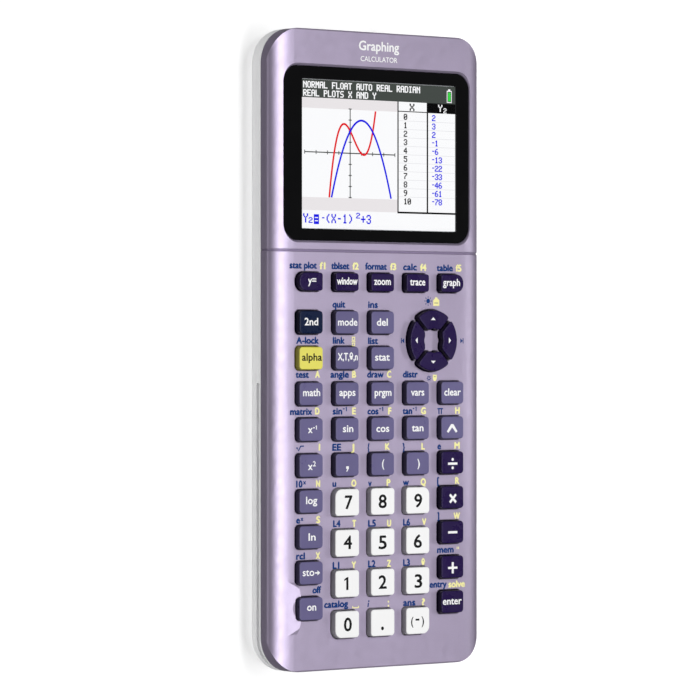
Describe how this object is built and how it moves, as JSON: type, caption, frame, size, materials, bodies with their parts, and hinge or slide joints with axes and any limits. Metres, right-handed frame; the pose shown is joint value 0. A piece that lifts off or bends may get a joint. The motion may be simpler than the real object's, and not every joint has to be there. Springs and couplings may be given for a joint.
{
  "type": "graphing calculator",
  "caption": "Hand-held graphing calculator: two-part case, windowed colour display, sprung keys with arrow pad, rear battery door, internal board and battery.",
  "frame": {"origin": "under the middle of the case, on the surface that the feet rest on", "axes": "+Z out of the key face, +Y towards the display end, +X to the right when the keys are read; the calculator lies on its back"},
  "size_m": [0.081, 0.19, 0.0152],
  "materials": {
    "shell_paint": "metallic lavender lacquer over moulded plastic, satin gloss",
    "rear_plastic": "glossy off-white moulded plastic",
    "pack_wrap": "matt dark plastic case",
    "window_black": "gloss black printed border on clear acrylic",
    "lcd_tray": "matt white backlight tray",
    "board_green": "green solder resist",
    "mat_rubber": "soft silicone, matt",
    "screw_steel": "dark zinc plated",
    "foot_rubber": "soft grey rubber, matt",
    "key_dark": "satin dark violet plastic, painted legends",
    "key_slate": "satin slate-lavender plastic, painted legends",
    "key_white": "satin white plastic, black painted digits",
    "key_blue": "satin navy plastic, painted legend",
    "key_yellow": "satin yellow plastic, painted legend"
  },
  "bodies": {
    "case": {"front_shell": "shell_paint", "rear_shell": "rear_plastic", "battery_pack": "pack_wrap", "display_window": "window_black", "lcd_module": "lcd_tray", "circuit_board": "board_green", "key_membrane": "mat_rubber", "case_screws": "screw_steel", "rubber_feet": "foot_rubber"},
    "battery_door": {"battery_door": "rear_plastic"},
    "key_y_equals": {"key_y_equals": "key_dark"},
    "key_window": {"key_window": "key_dark"},
    "key_zoom": {"key_zoom": "key_dark"},
    "key_trace": {"key_trace": "key_dark"},
    "key_graph": {"key_graph": "key_dark"},
    "key_second": {"key_second": "key_blue"},
    "key_mode": {"key_mode": "key_slate"},
    "key_delete": {"key_delete": "key_slate"},
    "key_alpha": {"key_alpha": "key_yellow"},
    "key_variable": {"key_variable": "key_slate"},
    "key_stat": {"key_stat": "key_slate"},
    "key_math": {"key_math": "key_slate"},
    "key_apps": {"key_apps": "key_slate"},
    "key_program": {"key_program": "key_slate"},
    "key_vars": {"key_vars": "key_slate"},
    "key_clear": {"key_clear": "key_slate"},
    "key_inverse": {"key_inverse": "key_slate"},
    "key_sin": {"key_sin": "key_slate"},
    "key_cos": {"key_cos": "key_slate"},
    "key_tan": {"key_tan": "key_slate"},
    "key_power": {"key_power": "key_slate"},
    "key_square": {"key_square": "key_slate"},
    "key_comma": {"key_comma": "key_slate"},
    "key_open_paren": {"key_open_paren": "key_slate"},
    "key_close_paren": {"key_close_paren": "key_slate"},
    "key_divide": {"key_divide": "key_dark"},
    "key_log": {"key_log": "key_slate"},
    "key_7": {"key_7": "key_white"},
    "key_8": {"key_8": "key_white"},
    "key_9": {"key_9": "key_white"},
    "key_multiply": {"key_multiply": "key_dark"},
    "key_ln": {"key_ln": "key_slate"},
    "key_4": {"key_4": "key_white"},
    "key_5": {"key_5": "key_white"},
    "key_6": {"key_6": "key_white"},
    "key_minus": {"key_minus": "key_dark"},
    "key_store": {"key_store": "key_slate"},
    "key_1": {"key_1": "key_white"},
    "key_2": {"key_2": "key_white"},
    "key_3": {"key_3": "key_white"},
    "key_plus": {"key_plus": "key_dark"},
    "key_on": {"key_on": "key_slate"},
    "key_0": {"key_0": "key_white"},
    "key_point": {"key_point": "key_white"},
    "key_negate": {"key_negate": "key_white"},
    "key_enter": {"key_enter": "key_dark"},
    "key_right": {"key_right": "key_dark"},
    "key_up": {"key_up": "key_dark"},
    "key_left": {"key_left": "key_dark"},
    "key_down": {"key_down": "key_dark"}
  },
  "joints": [
    {"name": "y_equals_press", "type": "slide", "parent": "case", "child": "key_y_equals", "axis": [0, 0, -1], "range_m": [0, 0.001], "stiffness_N_per_m": 200, "springref_m": -0.002, "deforming": ["key_membrane"]},
    {"name": "window_press", "type": "slide", "parent": "case", "child": "key_window", "axis": [0, 0, -1], "range_m": [0, 0.001], "stiffness_N_per_m": 200, "springref_m": -0.002, "deforming": ["key_membrane"]},
    {"name": "zoom_press", "type": "slide", "parent": "case", "child": "key_zoom", "axis": [0, 0, -1], "range_m": [0, 0.001], "stiffness_N_per_m": 200, "springref_m": -0.002, "deforming": ["key_membrane"]},
    {"name": "trace_press", "type": "slide", "parent": "case", "child": "key_trace", "axis": [0, 0, -1], "range_m": [0, 0.001], "stiffness_N_per_m": 200, "springref_m": -0.002, "deforming": ["key_membrane"]},
    {"name": "graph_press", "type": "slide", "parent": "case", "child": "key_graph", "axis": [0, 0, -1], "range_m": [0, 0.001], "stiffness_N_per_m": 200, "springref_m": -0.002, "deforming": ["key_membrane"]},
    {"name": "second_press", "type": "slide", "parent": "case", "child": "key_second", "axis": [0, 0, -1], "range_m": [0, 0.001], "stiffness_N_per_m": 200, "springref_m": -0.002, "deforming": ["key_membrane"]},
    {"name": "mode_press", "type": "slide", "parent": "case", "child": "key_mode", "axis": [0, 0, -1], "range_m": [0, 0.001], "stiffness_N_per_m": 200, "springref_m": -0.002, "deforming": ["key_membrane"]},
    {"name": "delete_press", "type": "slide", "parent": "case", "child": "key_delete", "axis": [0, 0, -1], "range_m": [0, 0.001], "stiffness_N_per_m": 200, "springref_m": -0.002, "deforming": ["key_membrane"]},
    {"name": "alpha_press", "type": "slide", "parent": "case", "child": "key_alpha", "axis": [0, 0, -1], "range_m": [0, 0.001], "stiffness_N_per_m": 200, "springref_m": -0.002, "deforming": ["key_membrane"]},
    {"name": "variable_press", "type": "slide", "parent": "case", "child": "key_variable", "axis": [0, 0, -1], "range_m": [0, 0.001], "stiffness_N_per_m": 200, "springref_m": -0.002, "deforming": ["key_membrane"]},
    {"name": "stat_press", "type": "slide", "parent": "case", "child": "key_stat", "axis": [0, 0, -1], "range_m": [0, 0.001], "stiffness_N_per_m": 200, "springref_m": -0.002, "deforming": ["key_membrane"]},
    {"name": "math_press", "type": "slide", "parent": "case", "child": "key_math", "axis": [0, 0, -1], "range_m": [0, 0.001], "stiffness_N_per_m": 200, "springref_m": -0.002, "deforming": ["key_membrane"]},
    {"name": "apps_press", "type": "slide", "parent": "case", "child": "key_apps", "axis": [0, 0, -1], "range_m": [0, 0.001], "stiffness_N_per_m": 200, "springref_m": -0.002, "deforming": ["key_membrane"]},
    {"name": "program_press", "type": "slide", "parent": "case", "child": "key_program", "axis": [0, 0, -1], "range_m": [0, 0.001], "stiffness_N_per_m": 200, "springref_m": -0.002, "deforming": ["key_membrane"]},
    {"name": "vars_press", "type": "slide", "parent": "case", "child": "key_vars", "axis": [0, 0, -1], "range_m": [0, 0.001], "stiffness_N_per_m": 200, "springref_m": -0.002, "deforming": ["key_membrane"]},
    {"name": "clear_press", "type": "slide", "parent": "case", "child": "key_clear", "axis": [0, 0, -1], "range_m": [0, 0.001], "stiffness_N_per_m": 200, "springref_m": -0.002, "deforming": ["key_membrane"]},
    {"name": "inverse_press", "type": "slide", "parent": "case", "child": "key_inverse", "axis": [0, 0, -1], "range_m": [0, 0.001], "stiffness_N_per_m": 200, "springref_m": -0.002, "deforming": ["key_membrane"]},
    {"name": "sin_press", "type": "slide", "parent": "case", "child": "key_sin", "axis": [0, 0, -1], "range_m": [0, 0.001], "stiffness_N_per_m": 200, "springref_m": -0.002, "deforming": ["key_membrane"]},
    {"name": "cos_press", "type": "slide", "parent": "case", "child": "key_cos", "axis": [0, 0, -1], "range_m": [0, 0.001], "stiffness_N_per_m": 200, "springref_m": -0.002, "deforming": ["key_membrane"]},
    {"name": "tan_press", "type": "slide", "parent": "case", "child": "key_tan", "axis": [0, 0, -1], "range_m": [0, 0.001], "stiffness_N_per_m": 200, "springref_m": -0.002, "deforming": ["key_membrane"]},
    {"name": "power_press", "type": "slide", "parent": "case", "child": "key_power", "axis": [0, 0, -1], "range_m": [0, 0.001], "stiffness_N_per_m": 200, "springref_m": -0.002, "deforming": ["key_membrane"]},
    {"name": "square_press", "type": "slide", "parent": "case", "child": "key_square", "axis": [0, 0, -1], "range_m": [0, 0.001], "stiffness_N_per_m": 200, "springref_m": -0.002, "deforming": ["key_membrane"]},
    {"name": "comma_press", "type": "slide", "parent": "case", "child": "key_comma", "axis": [0, 0, -1], "range_m": [0, 0.001], "stiffness_N_per_m": 200, "springref_m": -0.002, "deforming": ["key_membrane"]},
    {"name": "open_paren_press", "type": "slide", "parent": "case", "child": "key_open_paren", "axis": [0, 0, -1], "range_m": [0, 0.001], "stiffness_N_per_m": 200, "springref_m": -0.002, "deforming": ["key_membrane"]},
    {"name": "close_paren_press", "type": "slide", "parent": "case", "child": "key_close_paren", "axis": [0, 0, -1], "range_m": [0, 0.001], "stiffness_N_per_m": 200, "springref_m": -0.002, "deforming": ["key_membrane"]},
    {"name": "divide_press", "type": "slide", "parent": "case", "child": "key_divide", "axis": [0, 0, -1], "range_m": [0, 0.001], "stiffness_N_per_m": 200, "springref_m": -0.002, "deforming": ["key_membrane"]},
    {"name": "log_press", "type": "slide", "parent": "case", "child": "key_log", "axis": [0, 0, -1], "range_m": [0, 0.001], "stiffness_N_per_m": 200, "springref_m": -0.002, "deforming": ["key_membrane"]},
    {"name": "7_press", "type": "slide", "parent": "case", "child": "key_7", "axis": [0, 0, -1], "range_m": [0, 0.001], "stiffness_N_per_m": 200, "springref_m": -0.002, "deforming": ["key_membrane"]},
    {"name": "8_press", "type": "slide", "parent": "case", "child": "key_8", "axis": [0, 0, -1], "range_m": [0, 0.001], "stiffness_N_per_m": 200, "springref_m": -0.002, "deforming": ["key_membrane"]},
    {"name": "9_press", "type": "slide", "parent": "case", "child": "key_9", "axis": [0, 0, -1], "range_m": [0, 0.001], "stiffness_N_per_m": 200, "springref_m": -0.002, "deforming": ["key_membrane"]},
    {"name": "multiply_press", "type": "slide", "parent": "case", "child": "key_multiply", "axis": [0, 0, -1], "range_m": [0, 0.001], "stiffness_N_per_m": 200, "springref_m": -0.002, "deforming": ["key_membrane"]},
    {"name": "ln_press", "type": "slide", "parent": "case", "child": "key_ln", "axis": [0, 0, -1], "range_m": [0, 0.001], "stiffness_N_per_m": 200, "springref_m": -0.002, "deforming": ["key_membrane"]},
    {"name": "4_press", "type": "slide", "parent": "case", "child": "key_4", "axis": [0, 0, -1], "range_m": [0, 0.001], "stiffness_N_per_m": 200, "springref_m": -0.002, "deforming": ["key_membrane"]},
    {"name": "5_press", "type": "slide", "parent": "case", "child": "key_5", "axis": [0, 0, -1], "range_m": [0, 0.001], "stiffness_N_per_m": 200, "springref_m": -0.002, "deforming": ["key_membrane"]},
    {"name": "6_press", "type": "slide", "parent": "case", "child": "key_6", "axis": [0, 0, -1], "range_m": [0, 0.001], "stiffness_N_per_m": 200, "springref_m": -0.002, "deforming": ["key_membrane"]},
    {"name": "minus_press", "type": "slide", "parent": "case", "child": "key_minus", "axis": [0, 0, -1], "range_m": [0, 0.001], "stiffness_N_per_m": 200, "springref_m": -0.002, "deforming": ["key_membrane"]},
    {"name": "store_press", "type": "slide", "parent": "case", "child": "key_store", "axis": [0, 0, -1], "range_m": [0, 0.001], "stiffness_N_per_m": 200, "springref_m": -0.002, "deforming": ["key_membrane"]},
    {"name": "1_press", "type": "slide", "parent": "case", "child": "key_1", "axis": [0, 0, -1], "range_m": [0, 0.001], "stiffness_N_per_m": 200, "springref_m": -0.002, "deforming": ["key_membrane"]},
    {"name": "2_press", "type": "slide", "parent": "case", "child": "key_2", "axis": [0, 0, -1], "range_m": [0, 0.001], "stiffness_N_per_m": 200, "springref_m": -0.002, "deforming": ["key_membrane"]},
    {"name": "3_press", "type": "slide", "parent": "case", "child": "key_3", "axis": [0, 0, -1], "range_m": [0, 0.001], "stiffness_N_per_m": 200, "springref_m": -0.002, "deforming": ["key_membrane"]},
    {"name": "plus_press", "type": "slide", "parent": "case", "child": "key_plus", "axis": [0, 0, -1], "range_m": [0, 0.001], "stiffness_N_per_m": 200, "springref_m": -0.002, "deforming": ["key_membrane"]},
    {"name": "on_press", "type": "slide", "parent": "case", "child": "key_on", "axis": [0, 0, -1], "range_m": [0, 0.001], "stiffness_N_per_m": 200, "springref_m": -0.002, "deforming": ["key_membrane"]},
    {"name": "0_press", "type": "slide", "parent": "case", "child": "key_0", "axis": [0, 0, -1], "range_m": [0, 0.001], "stiffness_N_per_m": 200, "springref_m": -0.002, "deforming": ["key_membrane"]},
    {"name": "point_press", "type": "slide", "parent": "case", "child": "key_point", "axis": [0, 0, -1], "range_m": [0, 0.001], "stiffness_N_per_m": 200, "springref_m": -0.002, "deforming": ["key_membrane"]},
    {"name": "negate_press", "type": "slide", "parent": "case", "child": "key_negate", "axis": [0, 0, -1], "range_m": [0, 0.001], "stiffness_N_per_m": 200, "springref_m": -0.002, "deforming": ["key_membrane"]},
    {"name": "enter_press", "type": "slide", "parent": "case", "child": "key_enter", "axis": [0, 0, -1], "range_m": [0, 0.001], "stiffness_N_per_m": 200, "springref_m": -0.002, "deforming": ["key_membrane"]},
    {"name": "right_press", "type": "slide", "parent": "case", "child": "key_right", "axis": [0, 0, -1], "range_m": [0, 0.001], "stiffness_N_per_m": 200, "springref_m": -0.002, "deforming": ["key_membrane"]},
    {"name": "up_press", "type": "slide", "parent": "case", "child": "key_up", "axis": [0, 0, -1], "range_m": [0, 0.001], "stiffness_N_per_m": 200, "springref_m": -0.002, "deforming": ["key_membrane"]},
    {"name": "left_press", "type": "slide", "parent": "case", "child": "key_left", "axis": [0, 0, -1], "range_m": [0, 0.001], "stiffness_N_per_m": 200, "springref_m": -0.002, "deforming": ["key_membrane"]},
    {"name": "down_press", "type": "slide", "parent": "case", "child": "key_down", "axis": [0, 0, -1], "range_m": [0, 0.001], "stiffness_N_per_m": 200, "springref_m": -0.002, "deforming": ["key_membrane"]},
    {"name": "battery_door_lift", "type": "slide", "parent": "case", "child": "battery_door", "axis": [0, 0, -1], "range_m": [0, 0.012]}
  ]
}
